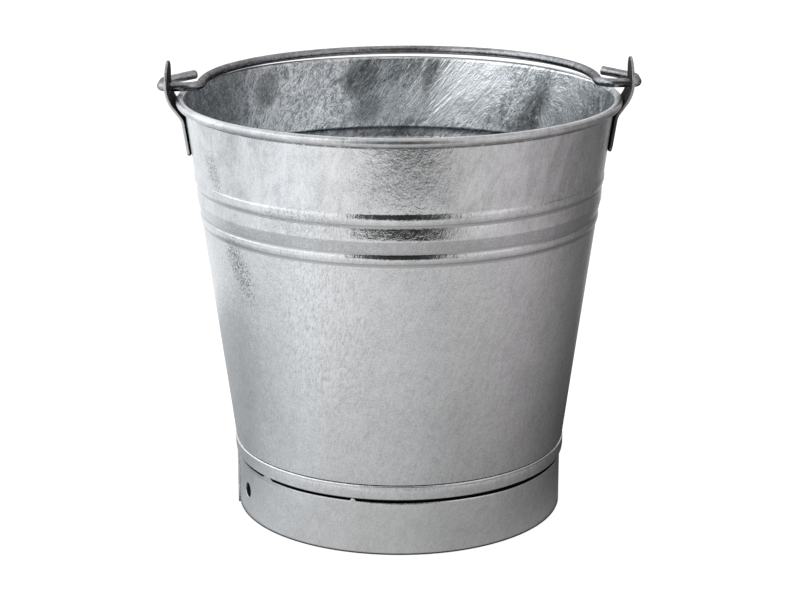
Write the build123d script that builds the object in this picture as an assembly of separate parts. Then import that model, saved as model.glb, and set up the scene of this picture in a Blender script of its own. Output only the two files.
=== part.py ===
"""Galvanised florist bucket: tapered wall with three ribs and a wired rim, pan seamed on below,
foot hoop with a lap joint, two stamped ears and a wire bail hooked through them.

Millimetres, +Z up. The bucket's axis is Z, the foot hoop stands on Z = 0, the ears are at -X and +X,
and the bail lies back towards +Y on the rim.
"""
from build123d import *
from math import atan2, cos, degrees, radians, sin
import os

# Wall and rim
RIM_OUTER_R = 145.0         # outside of the rolled rim
BEAD_R = 2.8                # half the thickness of the rolled rim
RIM_Z = 275.7               # middle of the rolled rim
SHEET = 0.8                 # wall sheet
WALL_TOP_R = 140.3          # outside of the wall where it meets the rim
WALL_FOOT_R = 109.8         # outside of the wall, carried down to WALL_FOOT_Z
WALL_FOOT_Z = 43.5
CURL_SLIT = 0.15            # gap between the end of the curl and the wall
CURL_SLIT_DEPTH = 0.5       # from the middle of the rim down to the slit's upper end
RIM_WIRE_GAP = 0.12

# Ribs rolled into the wall: (top, bottom, height)
RIBS = [(229.9, 222.2, 0.75), (221.3, 204.4, 0.95), (204.1, 197.1, 0.8)]

# Bottom seam and pan
SEAM_BOTTOM_Z = 37.6
SEAM_TOP_Z = 47.4
SEAM_R = 111.0              # outside of the folded seam
SEAM_WALL_R = 109.1         # outside of the wall inside the seam
WALL_END_Z = 38.8
NECK_ABOVE_SEAM = 0.9       # the wall starts to step in this far above the seam
NECK_BELOW_EDGE = 0.4       # and has stepped in this far below the seam's upper edge
PAN_TOP_Z = 42.0
PAN_SHEET = 0.9
PAN_BEND = 0.8              # bevel where the pan's skirt turns under
LAYER_GAP = 0.06            # between layers of a folded seam
# Outer line of the fold, as (how far inside SEAM_R, height), from its top edge to its underside
SEAM_LINE = [(0.25, 46.2), (0.0, 43.2), (0.4, 39.2), (1.2, 37.95), (2.4, 37.6)]
SEAM_TOP_EDGE = 1.0         # height of the rounded top edge of the fold

# Foot hoop
FOOT_R = 109.0
FOOT_SHEET = 1.0
FOOT_TOP_Z = 36.8
NECK_TOP_Z = 40.8
LAP_END = 188.0             # azimuth of the outer end of the strip
LAP_START = 172.0           # azimuth of the inner end of the strip
JOGGLE = 4.0                # degrees over which the strip steps outward
JOGGLE_STEPS = 8
JOGGLE_OVERLAP = 0.2        # how far each step of the joggle reaches into the hoop
LAP_SLIT = 0.2              # degrees between the strip's inner end and the joggle
NECK_STEP = 1.2             # drop of the bend where the hoop turns in to its neck
FOOT_HOLE_R = 5.0
FOOT_HOLE_Z = 18.7
FOOT_HOLE_AZIMUTH = 202.4

# Ears
EAR_HALF_WIDTH = 16.3
EAR_SHEET = 1.8
EAR_FACE_X = 151.7          # outer face beside the hole
EAR_BOTTOM = 43.3           # from the hole's centre down to the ear's lower edge
EAR_KNEE = 19.5             # from the hole's centre down to the bend away from the wall
EAR_CROWN = 0.9             # the rounded top is centred this much above the hole
EAR_TIP = 18.2              # from the hole's centre up past the ear's tip
EAR_BENDS = [6.0, 24.0, 14.0]
EAR_CORNER_R = 5.0
EAR_HOLE_R = 3.9

# Bail
WIRE_R = 3.0
AXIS_Z = 284.0              # hinge line, midway between the ears
EAR_LIFT = 1.4              # the right ear sits this much higher, the left one this much lower
BAIL_R = 130.0              # the bail's back arc
BAIL_ARC_Y = 17.3           # middle of that arc
SHOULDER_R = 11.5           # bend beside each ear
BAIL_DROP = 0.69            # degrees that the bail slopes down at rest
HOOK_X = 155.2              # wire centre outside the ear
HOOK_REACH = 19.1
HOOK_END = (134.5, 31.0, 3.2)
HOOK_RISE = 0.6
HOOK_INNER_R = 4.5
HOOK_OUTER_R = 5.5
LEFT_END_ROUND = 1.6        # rounding of the cut ends of the wire
RIGHT_END_ROUND = 0.5

SLOPE = (WALL_TOP_R - WALL_FOOT_R) / (RIM_Z - WALL_FOOT_Z)
AXIS_TILT = degrees(atan2(EAR_LIFT, EAR_FACE_X - EAR_SHEET / 2))


def wall_radius(z):
    """Outer radius of the plain wall at height z."""
    return WALL_FOOT_R + SLOPE * (z - WALL_FOOT_Z)


def section(*edges):
    """Face in the R-Z plane (X is the radius) bounded by the given edges."""
    return make_face(Plane.XZ * Curve(list(edges)))


def turned(face):
    """Solid of revolution about the bucket's axis."""
    return revolve(face, Axis.Z)


def wall_edges(inset):
    """Wall line from the top down to the seam, moved inward by inset, with an arc for each rib."""
    edges = []
    here = (WALL_TOP_R - inset, RIM_Z)
    for top, bottom, height in RIBS:
        start = (wall_radius(top) - inset, top)
        end = (wall_radius(bottom) - inset, bottom)
        middle = (top + bottom) / 2
        crest = (wall_radius(middle) - inset + height, middle)
        edges.append(Line(here, start))
        edges.append(ThreePointArc(start, crest, end))
        here = end
    neck_z = SEAM_TOP_Z + NECK_ABOVE_SEAM
    neck = (wall_radius(neck_z) - inset, neck_z)
    seam = (SEAM_WALL_R - inset, SEAM_TOP_Z - NECK_BELOW_EDGE)
    last = (SEAM_WALL_R - inset, WALL_END_Z)
    edges.append(Line(here, neck))
    edges.append(Line(neck, seam))
    edges.append(Line(seam, last))
    return edges


def body_shell():
    """Tapered ribbed wall whose top edge is curled outward round the rim wire."""
    outer = wall_edges(0)
    inner = wall_edges(SHEET)
    top = Line((WALL_TOP_R, RIM_Z), (WALL_TOP_R - SHEET, RIM_Z))
    bottom = Line((SEAM_WALL_R, WALL_END_Z), (SEAM_WALL_R - SHEET, WALL_END_Z))
    wall = section(*outer, *inner, top, bottom)
    bead_x = RIM_OUTER_R - BEAD_R
    centre = Plane.XZ * Location((bead_x, RIM_Z))
    curl = centre * (Circle(BEAD_R) - Circle(BEAD_R - SHEET))
    slit_top = RIM_Z - CURL_SLIT_DEPTH
    slit_bottom = RIM_Z - 2 * BEAD_R
    slit = section(
        *Polyline(
            (WALL_TOP_R - 2 * SHEET, slit_top),
            (wall_radius(slit_top) + CURL_SLIT, slit_top),
            (wall_radius(slit_bottom) + CURL_SLIT, slit_bottom),
            (WALL_TOP_R - 2 * SHEET, slit_bottom),
            close=True,
        ).edges()
    )
    return turned(wall) + (turned(curl) - turned(slit))


def rim_wire():
    """Round wire ring closed inside the curled rim."""
    centre = Plane.XZ * Location((RIM_OUTER_R - BEAD_R, RIM_Z))
    return turned(centre * Circle(BEAD_R - SHEET - RIM_WIRE_GAP))


def bottom_pan():
    """Flat pan whose edge is folded down, out and up round the lower edge of the wall."""
    skirt_r = SEAM_WALL_R - SHEET - LAYER_GAP
    inner_r = skirt_r - PAN_SHEET
    fold_r = SEAM_WALL_R + LAYER_GAP
    under_z = PAN_TOP_Z - PAN_SHEET
    ledge_z = SEAM_BOTTOM_Z + PAN_SHEET
    inside = [
        (SEAM_R - SEAM_LINE[-1][0], SEAM_BOTTOM_Z),
        (inner_r + PAN_BEND, SEAM_BOTTOM_Z),
        (inner_r, SEAM_BOTTOM_Z + PAN_BEND),
        (inner_r, under_z),
        (0, under_z),
        (0, PAN_TOP_Z),
        (skirt_r, PAN_TOP_Z),
        (skirt_r, ledge_z),
        (fold_r, ledge_z),
        (fold_r, SEAM_TOP_Z - SEAM_TOP_EDGE),
    ]
    fold = [(SEAM_R - depth, z) for depth, z in SEAM_LINE]
    crest = ((fold_r + fold[0][0]) / 2, SEAM_TOP_Z)
    face = section(
        *Polyline(*inside).edges(),
        ThreePointArc(inside[-1], crest, fold[0]),
        ThreePointArc(fold[0], fold[1], fold[2]),
        ThreePointArc(fold[2], fold[3], fold[4]),
    )
    return turned(face)


def sector(radius_in, radius_out, start, end, height):
    """Upright curved block between two radii and two azimuths."""
    face = Circle(radius_out) - Circle(radius_in)
    reach = 2 * radius_out
    middle = radians((start + end) / 2)
    wedge = Polygon(
        (0, 0),
        (reach * cos(radians(start)), reach * sin(radians(start))),
        (reach * cos(middle), reach * sin(middle)),
        (reach * cos(radians(end)), reach * sin(radians(end))),
        align=None,
    )
    return extrude(face & wedge, height)


def foot_hoop():
    """Hoop that the bucket stands on: an open ring whose ends lap, necked in under the seam."""
    inner_r = FOOT_R - FOOT_SHEET
    neck_out = SEAM_WALL_R - SHEET - PAN_SHEET - 2 * LAYER_GAP
    neck_in = neck_out - FOOT_SHEET
    face = section(
        *Polyline(
            (inner_r, 0),
            (FOOT_R, 0),
            (FOOT_R, FOOT_TOP_Z - NECK_STEP / 2),
            (FOOT_R - NECK_STEP / 2, FOOT_TOP_Z),
            (neck_out, FOOT_TOP_Z),
            (neck_out, NECK_TOP_Z),
            (neck_in, NECK_TOP_Z),
            (neck_in, FOOT_TOP_Z - NECK_STEP),
            (inner_r, FOOT_TOP_Z - 2 * NECK_STEP),
            close=True,
        ).edges()
    )
    hoop = turned(face)
    flap_in = FOOT_R + LAYER_GAP
    hoop -= sector(neck_in - FOOT_SHEET, flap_in, LAP_START, LAP_START + LAP_SLIT, NECK_TOP_Z)
    flap_out = flap_in + FOOT_SHEET
    hoop += sector(flap_in, flap_out, LAP_START, LAP_END, FOOT_TOP_Z)
    root = FOOT_R - JOGGLE_OVERLAP
    for index in range(JOGGLE_STEPS):
        rise = (index + 1) / JOGGLE_STEPS
        start = LAP_START - JOGGLE * (1 - index / JOGGLE_STEPS)
        end = LAP_START - JOGGLE * (1 - rise)
        hoop += sector(root, FOOT_R + rise * (flap_out - FOOT_R), start, end, FOOT_TOP_Z)
    bore = Location((0, 0, FOOT_HOLE_Z)) * Rotation(0, 0, FOOT_HOLE_AZIMUTH)
    bore = bore * Location((FOOT_R, 0, 0)) * Rotation(0, 90, 0)
    return hoop - bore * Cylinder(FOOT_HOLE_R, 8 * FOOT_SHEET)


def ear_profile(hole_z):
    """Side view of an ear: flat on the wall, out round the rim, then upright to the tip."""
    bottom = hole_z - EAR_BOTTOM
    knee = hole_z - EAR_KNEE
    outside = [
        (wall_radius(bottom) + EAR_SHEET + 0.1, bottom),
        (wall_radius(knee) + EAR_SHEET + 0.6, knee),
        (EAR_FACE_X - 0.2, hole_z - 6.0),
        (EAR_FACE_X, hole_z + 4.0),
        (EAR_FACE_X - 0.7, hole_z + EAR_TIP),
    ]
    outer = FilletPolyline(*outside, radius=EAR_BENDS)
    inner = offset(outer, amount=EAR_SHEET, side=Side.LEFT, closed=True)
    return make_face(Plane.XZ * inner)


def ear(side):
    """Stamped ear: side is -1 for the left one and +1 for the right one."""
    hole_z = AXIS_Z + side * EAR_LIFT
    plate = extrude(ear_profile(hole_z), EAR_HALF_WIDTH, both=True)
    bottom = hole_z - EAR_BOTTOM
    crown_z = hole_z + EAR_CROWN
    front = Plane.YZ * (
        Location((0, crown_z)) * Circle(EAR_HALF_WIDTH)
        + Location((0, (crown_z + bottom) / 2))
        * RectangleRounded(2 * EAR_HALF_WIDTH, crown_z - bottom, EAR_CORNER_R)
        + Location((0, crown_z - EAR_CORNER_R)) * Rectangle(2 * EAR_HALF_WIDTH, 2 * EAR_CORNER_R)
        - Location((0, hole_z)) * Circle(EAR_HOLE_R)
    )
    blank = extrude(front, 2 * EAR_FACE_X)
    result = plate & blank
    if side < 0:
        result = mirror(result, Plane.YZ)
    return result


def hook_points():
    """Corner points of the right hook, from its free end to the wire inside the ear."""
    return [
        HOOK_END,
        (HOOK_X, HOOK_REACH, HOOK_RISE),
        (HOOK_X, 0, 0),
        (BAIL_R, 0, 0),
        (BAIL_R, BAIL_ARC_Y, 0),
    ]


def bail():
    """Round wire handle, built about its hinge line and then laid back on the rim."""
    right = hook_points()
    left = [(-x, y, z) for x, y, z in right]
    bends = [HOOK_OUTER_R, HOOK_INNER_R, SHOULDER_R]
    path = Curve() + [
        FilletPolyline(*right, radius=bends),
        ThreePointArc(right[-1], (0, BAIL_ARC_Y + BAIL_R, 0), left[-1]),
        FilletPolyline(*reversed(left), radius=list(reversed(bends))),
    ]
    path = path.wires()[0]
    start = Plane(origin=path @ 0, z_dir=path % 0)
    wire = sweep(start * Circle(WIRE_R), path)
    left_end = wire.edges().filter_by(GeomType.CIRCLE).sort_by_distance(left[0])[0]
    wire = fillet(left_end, LEFT_END_ROUND)
    right_end = wire.edges().filter_by(GeomType.CIRCLE).sort_by_distance(right[0])[0]
    wire = fillet(right_end, RIGHT_END_ROUND)
    lean = Rotation(-BAIL_DROP, 0, 0)
    tilt = Rotation(0, -AXIS_TILT, 0)
    return Location((0, 0, AXIS_Z)) * tilt * lean * wire


def main():
    os.makedirs("parts", exist_ok=True)
    nodes = {
        "body_shell": body_shell(),
        "rim_wire": rim_wire(),
        "bottom_pan": bottom_pan(),
        "foot_hoop": foot_hoop(),
        "ear_left": ear(-1),
        "ear_right": ear(1),
        "bail": bail(),
    }
    for name, shape in nodes.items():
        export_step(shape, "parts/" + name + ".step")


main()
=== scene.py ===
"""Looks of the galvanised florist bucket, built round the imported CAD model.

Sizes are in millimetres until a mesh is made, and Blender's metres after that. +Z is up along the
bucket's axis, the ears are at -X and +X, and the bail lies back towards +Y.
"""
from math import atan2, cos, degrees, pi, radians, sin, sqrt

import bmesh
import bpy
import numpy as np
from mathutils import Matrix, Vector

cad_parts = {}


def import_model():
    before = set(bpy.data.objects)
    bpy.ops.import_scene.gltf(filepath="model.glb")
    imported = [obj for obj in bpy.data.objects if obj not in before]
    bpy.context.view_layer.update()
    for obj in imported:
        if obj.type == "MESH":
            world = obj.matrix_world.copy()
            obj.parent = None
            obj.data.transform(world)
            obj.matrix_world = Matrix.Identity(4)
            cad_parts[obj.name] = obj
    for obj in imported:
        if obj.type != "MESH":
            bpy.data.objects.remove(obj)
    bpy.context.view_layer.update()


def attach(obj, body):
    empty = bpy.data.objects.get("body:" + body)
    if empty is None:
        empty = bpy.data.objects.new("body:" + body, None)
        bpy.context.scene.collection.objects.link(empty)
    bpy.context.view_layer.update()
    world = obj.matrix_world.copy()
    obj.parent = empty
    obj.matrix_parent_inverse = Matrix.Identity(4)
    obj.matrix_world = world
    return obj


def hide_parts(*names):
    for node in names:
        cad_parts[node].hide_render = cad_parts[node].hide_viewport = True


MM = 0.001

# Wall and rim, as in the CAD model
RIM_OUTER_R = 145.0
BEAD_R = 2.8
RIM_Z = 275.7
SHEET = 0.8
WALL_TOP_R = 140.3
WALL_FOOT_R = 109.8
WALL_FOOT_Z = 43.5
SLOPE = (WALL_TOP_R - WALL_FOOT_R) / (RIM_Z - WALL_FOOT_Z)
CURL_END = 134.0            # the curl runs on to this many degrees below the horizontal
CURL_INSIDE = 130.0         # above this many degrees the curl has the finish of the inside
CURL_RINGS = 34             # rings over the curl, and back under it
CURL_BACK_RINGS = 20
BEAD_START = 3.5            # the plain wall ends this far below the bead's middle
INNER_TOPS = (2.2, 1.0, 0.2)        # and its inner face goes on to these
OUTER_TOP = 1.2
RIM_LEAN = 0.1              # how much the inner face leans in just below the curl
LEAN_START = 14.0           # which begins this far below the bead's middle

# Ribs as (top, bottom, crest)
RIBS = [(229.9, 222.2, 0.75), (221.3, 204.4, 0.95), (204.1, 197.1, 0.8)]
MIDDLE_RIB = 1              # this one has a ridge along its middle, the others are round
CREST_ROUND = 0.10          # rounding of the middle rib's crest, as a share of its half height
RIB_BLEND = 0.7             # rounding of the valleys beside each rib
RIB_FOOT = 0.35             # height left at a rib's foot, as a share of its arch
RIB_FADE = 0.14             # how much shallower a rib gets in places, as a share of its height
RIB_MARGIN = 2.0            # the close rings reach this far past the ribs
WALL_RINGS = [3, 8, 35, 83, 13]     # rings below the neck, in it, up to the ribs, across them, above

# Bottom seam and pan
SEAM_BOTTOM_Z = 37.6
SEAM_TOP_Z = 47.4
SEAM_R = 111.0
SEAM_WALL_R = 109.1
WALL_END_Z = 38.8
NECK_TOP = 48.3             # the wall steps in between these two heights
NECK_END = 47.0
PAN_TOP_Z = 42.0
PAN_SHEET = 0.9
PAN_RINGS = [12, 28, 44, 60, 74, 86, 96, 103, 106.4]
PAN_SINK = 0.3              # how far the middle of the pan sinks in places
LAYER_GAP = 0.06
SKIRT_EDGE = 0.8            # the corner under the pan's skirt is cut off by this
FOLD_R = SEAM_WALL_R + LAYER_GAP

# Section of the fold round the wall's lower edge: arcs through three (radius, height) points, and counts
FOLD_ARCS = [
    ((108.6, SEAM_BOTTOM_Z), (109.8, 37.95), (110.6, 39.2), 7),
    ((110.6, 39.2), (SEAM_R, 43.2), (110.75, 46.0), 12),
    ((110.75, 46.0), (109.95, SEAM_TOP_Z), (FOLD_R, 46.3), 9),
]
FOLD_UNEVEN = 0.16
FOLD_EASE = (109.2, 110.4)  # radii between which the unevenness sets in

# Foot hoop
FOOT_R = 109.0
FOOT_SHEET = 1.0
FOOT_TOP_Z = 36.8
HOOP_NECK_R = 107.28
HOOP_NECK_Z = 40.8
LAP_START = 172.0
LAP_END = 188.0
JOGGLE = 4.0
HOOP_WAVE = 0.2             # how far the strip is from round
HOOP_EASE = 25.0            # degrees over which that fades out towards the lap
EDGE_DROP = 1.15            # the strip's upper edge is this far below FOOT_TOP_Z, which opens the gap
EDGE_TILT = 0.45            # and it falls by this much more towards +X
EDGE_RIPPLE = 0.12
LOWER_ROUND = [(0.45, 0.0), (0.13, 0.13), (0.0, 0.45)]      # (inward, up) from the lower outer corner
UPPER_ROUND = [(0.02, 0.8), (0.14, 0.35), (0.42, 0.08)]     # (inward, down) from the upper outer corner
BLOBS = [(217.5, 1.9, 1.9), (254.3, 0.5, 1.9)]  # zinc bridging the gap: (degrees, half width, height)
FOOT_HOLE_R = 5.0
FOOT_HOLE_Z = 18.7
FOOT_HOLE_AZIMUTH = 202.4
FOOT_HOLE_SIDES = 48

# Ears
EAR_HALF_WIDTH = 16.3
EAR_SHEET = 1.8
EAR_FACE_X = 151.7
EAR_BOTTOM = 43.3           # the plate's lower edge, bend and tip, counted from its hole
EAR_KNEE = 19.5
EAR_CROWN = 0.9             # the rounded top is centred this much above the hole
EAR_TIP = 18.2
EAR_UPRIGHT = (-6.0, 4.0)   # between these heights the plate stands almost upright
EAR_LEAN = (0.2, 0.7)       # how far it leans in below them, and at its tip
TAB_GAP = 0.1               # gap between the plate and the wall, at the lower edge and at the bend
KNEE_GAP = 0.6
EAR_CORNER_R = 5.0
EAR_HOLE_R = 3.9
EAR_BENDS = [6.0, 24.0, 14.0]
EAR_EDGE = 0.55             # the flat of the plate starts this far from its hole and its outline
EDGE_DEPTHS = (0.14, 0.5, 1.3, 1.66)    # depths in the plate at which its rounded edges turn
EDGE_BACK = 0.15            # how far the rounding steps back from the outline
HOLE_BACK = 0.16            # and from the hole
EAR_SPOKES = 144

# Bail
WIRE_R = 3.0
AXIS_Z = 284.0
EAR_LIFT = 1.4
BAIL_R = 130.0
BAIL_ARC_Y = 17.3           # middle of the bail's half circle
SHOULDER_R = 11.5
BAIL_DROP = 0.69            # degrees below level at rest
HOOK_X = 155.2
HOOK_REACH = 19.1
HOOK_END = (134.5, 31.0, 3.2)       # free end of the wire, counted from the axis
HOOK_RISE = 0.6
HOOK_INNER_R = 4.5
HOOK_OUTER_R = 5.5
LEFT_END_ROUND = 1.6
RIGHT_END_ROUND = 0.5
END_MARGIN = 1.2            # no plain section this close to an end, as a share of LEFT_END_ROUND
AXIS_TILT = atan2(EAR_LIFT, EAR_FACE_X - EAR_SHEET / 2)
BAIL_ARC_STEPS = 96
BAIL_STEP = 2.5             # longest run between two sections of the wire

# Unevenness of hand work, as terms of (turns, per mm, phase)
DENT_WAVES = [(2, 0.011, 0.4), (3, -0.019, 1.7), (5, 0.031, 4.0), (8, -0.043, 2.2)]
BEAD_WAVES = [(3, 0, 0.5), (11, 0, 2.0), (29, 0, 4.4)]
PAN_WAVES = [(2, 0, 0.3), (5, 0, 1.9)]
FOLD_WAVES = [(4, 0, 1.0), (17, 0, 3.0), (53, 0, 0.6), (90, 0, 2.0)]
HOOP_WAVES = [(2, 0, 0.6), (3, 0, 2.6), (7, 0, 1.1)]
WIRE_WAVES = [(1, 0.11, 0.2), (2, -0.23, 1.4), (3, 0.41, 3.3)]
DENT_DEPTH = 0.22
DENT_RISE = 30.0            # the dents set in over this height above the neck
DENT_END = (25.0, 4.0)      # and fade out between these depths below the rim
BEAD_SAG = 0.12
SAG_EASE = (150, 100)       # degrees round the bead between which it sets in
WIRE_UNEVEN = 0.09

SEGMENTS = 512              # round the bucket
TUBE_SIDES = 28
SHARP_ANGLE = 38            # edges that turn by more degrees than this stay sharp


# ------------ mesh helpers

def waves(angle, height, terms):
    """Smooth unevenness between 0 and 1 that repeats with a full turn."""
    total = sum(np.sin(turns * angle + rate * height + phase) for turns, rate, phase in terms)
    return 0.5 + 0.5 * total / len(terms)


def smooth_step(value, low, high):
    """0 below low and 1 above high, with a smooth rise between."""
    share = np.clip((value - low) / (high - low), 0, 1)
    return share * share * (3 - 2 * share)


def arc_through(first, middle, last, count):
    """Points on the circular arc through three points, both ends included."""
    (ax, ay), (bx, by), (cx, cy) = first, middle, last
    d = 2 * (ax * (by - cy) + bx * (cy - ay) + cx * (ay - by))
    ux = ((ax**2 + ay**2) * (by - cy) + (bx**2 + by**2) * (cy - ay) + (cx**2 + cy**2) * (ay - by)) / d
    uy = ((ax**2 + ay**2) * (cx - bx) + (bx**2 + by**2) * (ax - cx) + (cx**2 + cy**2) * (bx - ax)) / d
    start = atan2(ay - uy, ax - ux)
    via = (atan2(by - uy, bx - ux) - start) % (2 * pi)
    turn = (atan2(cy - uy, cx - ux) - start) % (2 * pi)
    if via > turn:
        turn -= 2 * pi
    radius = sqrt((ax - ux) ** 2 + (ay - uy) ** 2)
    angles = [start + turn * i / (count - 1) for i in range(count)]
    return [(ux + radius * cos(a), uy + radius * sin(a)) for a in angles]


def rounded_path(points, radii, steps=10):
    """Straight runs through the points, each inner corner rounded with its own radius."""
    points = [Vector(p) for p in points]
    path = [points[0]]
    for corner, radius, before, after in zip(points[1:-1], radii, points, points[2:]):
        back = (before - corner).normalized()
        ahead = (after - corner).normalized()
        half = back.angle(ahead) / 2
        reach = radius / np.tan(half)
        bisector = (back + ahead).normalized()
        centre = corner + bisector * (radius / sin(half))
        start = corner + back * reach - centre
        end = corner + ahead * reach - centre
        turn = start.angle(end)
        for i in range(steps + 1):
            share = i / steps
            mixed = start * sin((1 - share) * turn) + end * sin(share * turn)
            path.append(centre + mixed / sin(turn))
    path.append(points[-1])
    return path


def make_mesh(name, vertices, faces, face_materials=None):
    """Smooth-shaded mesh object from points in millimetres, its sharp edges kept."""
    mesh = bpy.data.meshes.new(name)
    mesh.from_pydata([Vector(v) * MM for v in vertices], [], faces)
    if face_materials is not None:
        mesh.polygons.foreach_set("material_index", face_materials)
    work = bmesh.new()
    work.from_mesh(mesh)
    bmesh.ops.recalc_face_normals(work, faces=work.faces)
    work.to_mesh(mesh)
    work.free()
    mesh.shade_smooth()
    mesh.set_sharp_from_angle(angle=radians(SHARP_ANGLE))
    piece = bpy.data.objects.new(name, mesh)
    bpy.context.scene.collection.objects.link(piece)
    return piece


def ring_angles():
    """Angle of each segment round the bucket."""
    return np.arange(SEGMENTS) * (2 * pi / SEGMENTS)


def lathe(name, rings, closed, ring_materials):
    """Surface turned about Z. Each ring is (radius, height), numbers or arrays over the segments."""
    angles = ring_angles()
    cosines, sines = np.cos(angles), np.sin(angles)
    vertices, starts = [], []
    for radius, height in rings:
        starts.append(len(vertices))
        if np.isscalar(radius) and radius == 0:
            vertices.append((0.0, 0.0, float(height)))
            continue
        x = radius * cosines
        y = radius * sines
        z = height + 0 * cosines
        vertices.extend(zip(x.tolist(), y.tolist(), z.tolist()))
    starts.append(len(vertices))
    sizes = [b - a for a, b in zip(starts, starts[1:])]
    faces, materials = [], []
    count = len(rings)
    for ring in range(count if closed else count - 1):
        after = (ring + 1) % count
        a, b = starts[ring], starts[after]
        for i in range(SEGMENTS):
            j = (i + 1) % SEGMENTS
            if sizes[ring] == 1:
                faces.append((a, b + j, b + i))
            elif sizes[after] == 1:
                faces.append((a + i, a + j, b))
            else:
                faces.append((a + i, a + j, b + j, b + i))
        materials.extend([ring_materials[ring]] * SEGMENTS)
    return make_mesh(name, vertices, faces, materials)


def loft(name, sections, around=False):
    """Closed solid through sections of equal point count; around joins the last to the first."""
    vertices = [tuple(p) for section in sections for p in section]
    sides = len(sections[0])
    faces = []
    count = len(sections)
    for s in range(count if around else count - 1):
        a, b = s * sides, ((s + 1) % count) * sides
        for i in range(sides):
            j = (i + 1) % sides
            faces.append((a + i, a + j, b + j, b + i))
    if not around:
        faces.append(tuple(range(sides)))
        faces.append(tuple(range((count - 1) * sides, count * sides)))
    return make_mesh(name, vertices, faces)


def cut(piece, cutter):
    """Takes the cutter's volume out of the piece and removes the cutter."""
    modifier = piece.modifiers.new("cut", "BOOLEAN")
    modifier.operation = "DIFFERENCE"
    modifier.solver = "EXACT"
    modifier.object = cutter
    graph = bpy.context.evaluated_depsgraph_get()
    mesh = bpy.data.meshes.new_from_object(piece.evaluated_get(graph))
    piece.modifiers.clear()
    piece.data = mesh
    bpy.data.objects.remove(cutter)
    mesh.set_sharp_from_angle(angle=radians(SHARP_ANGLE))


def finish_piece(piece, materials, slot, body, *nodes):
    """Gives a piece its materials, the body that carries it and the CAD nodes it stands for."""
    for material in materials:
        piece.data.materials.append(material)
    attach(piece, body)
    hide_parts(*nodes)


# ------------ pieces

def wall_radius(z):
    """Outer radius of the plain wall at height z."""
    return WALL_FOOT_R + SLOPE * (z - WALL_FOOT_Z)


def rib_height(z, angle):
    """How far the ribs stand out of the wall, a little less in places."""
    height = 0 * angle
    for index, (top, bottom, crest) in enumerate(RIBS):
        half = (top - bottom) / 2
        share = (z - (top + bottom) / 2) / half
        fullness = 1 - RIB_FADE * waves(angle, 0, [(7, 0, index), (23, 0, 2.1 * index), (61, 0, 0.7)])
        if abs(share) < 1:
            arch = 1 - share * share
            if index == MIDDLE_RIB:
                arch = 1 - sqrt(share * share + CREST_ROUND**2) / sqrt(1 + CREST_ROUND**2)
            foot = smooth_step((1 - abs(share)) * half, 0, 2 * RIB_BLEND)
            height = height + crest * fullness * arch * (RIB_FOOT + (1 - RIB_FOOT) * foot)
    return height


def outer_radius(z, angle):
    """Outer face of the wall: cone, ribs, the step in behind the seam, and slight dents."""
    if z < NECK_TOP:
        share = smooth_step(z, NECK_END, NECK_TOP)
        radius = SEAM_WALL_R + share * (wall_radius(NECK_TOP) - SEAM_WALL_R)
    else:
        radius = wall_radius(z)
    fading = smooth_step(z, RIM_Z - DENT_END[0], RIM_Z - DENT_END[1])
    free = smooth_step(z, NECK_TOP, NECK_TOP + DENT_RISE) * (1 - fading)
    return radius + rib_height(z, angle) - DENT_DEPTH * free * waves(angle, z, DENT_WAVES)


def wall_heights():
    """Heights of the wall's rings, close together across the ribs."""
    across_ribs = [RIBS[-1][1] - RIB_MARGIN, RIBS[0][0] + RIB_MARGIN]
    limits = [WALL_END_Z, NECK_END, NECK_TOP] + across_ribs + [RIM_Z - BEAD_START]
    heights = []
    for low, high, count in zip(limits, limits[1:], WALL_RINGS):
        heights += list(np.linspace(low, high, count + 1)[:-1])
    return heights + [limits[-1]]


def build_wall():
    """Tapered wall with its curled rim, one sheet all the way."""
    angle = ring_angles()
    heights = wall_heights()
    bead_x = RIM_OUTER_R - BEAD_R
    rings, kinds = [], []

    def add(radius, z, kind):
        rings.append((radius, z))
        kinds.append(kind)

    for z in heights + [RIM_Z - depth for depth in INNER_TOPS]:
        lean = RIM_LEAN * smooth_step(z, RIM_Z - LEAN_START, RIM_Z - BEAD_START)
        add(outer_radius(z, angle) - SHEET - lean, z, 1)
    sag = BEAD_SAG * waves(angle, 0, BEAD_WAVES)
    wall_lean = degrees(atan2(SLOPE, 1))
    for a in np.linspace(180 - wall_lean, -CURL_END, CURL_RINGS):
        radius = BEAD_R - sag * smooth_step(a, *SAG_EASE)
        kind = 1 if a > CURL_INSIDE else 0
        add(bead_x + radius * cos(radians(a)), RIM_Z + radius * sin(radians(a)), kind)
    inner = BEAD_R - SHEET
    for a in np.linspace(-CURL_END, 180, CURL_BACK_RINGS):
        add(bead_x + inner * cos(radians(a)), RIM_Z + inner * sin(radians(a)), 0)
    for z in [RIM_Z - OUTER_TOP] + list(reversed(heights)):
        add(outer_radius(z, angle), z, 0)
    return lathe("wall", rings, closed=True, ring_materials=kinds)


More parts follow.
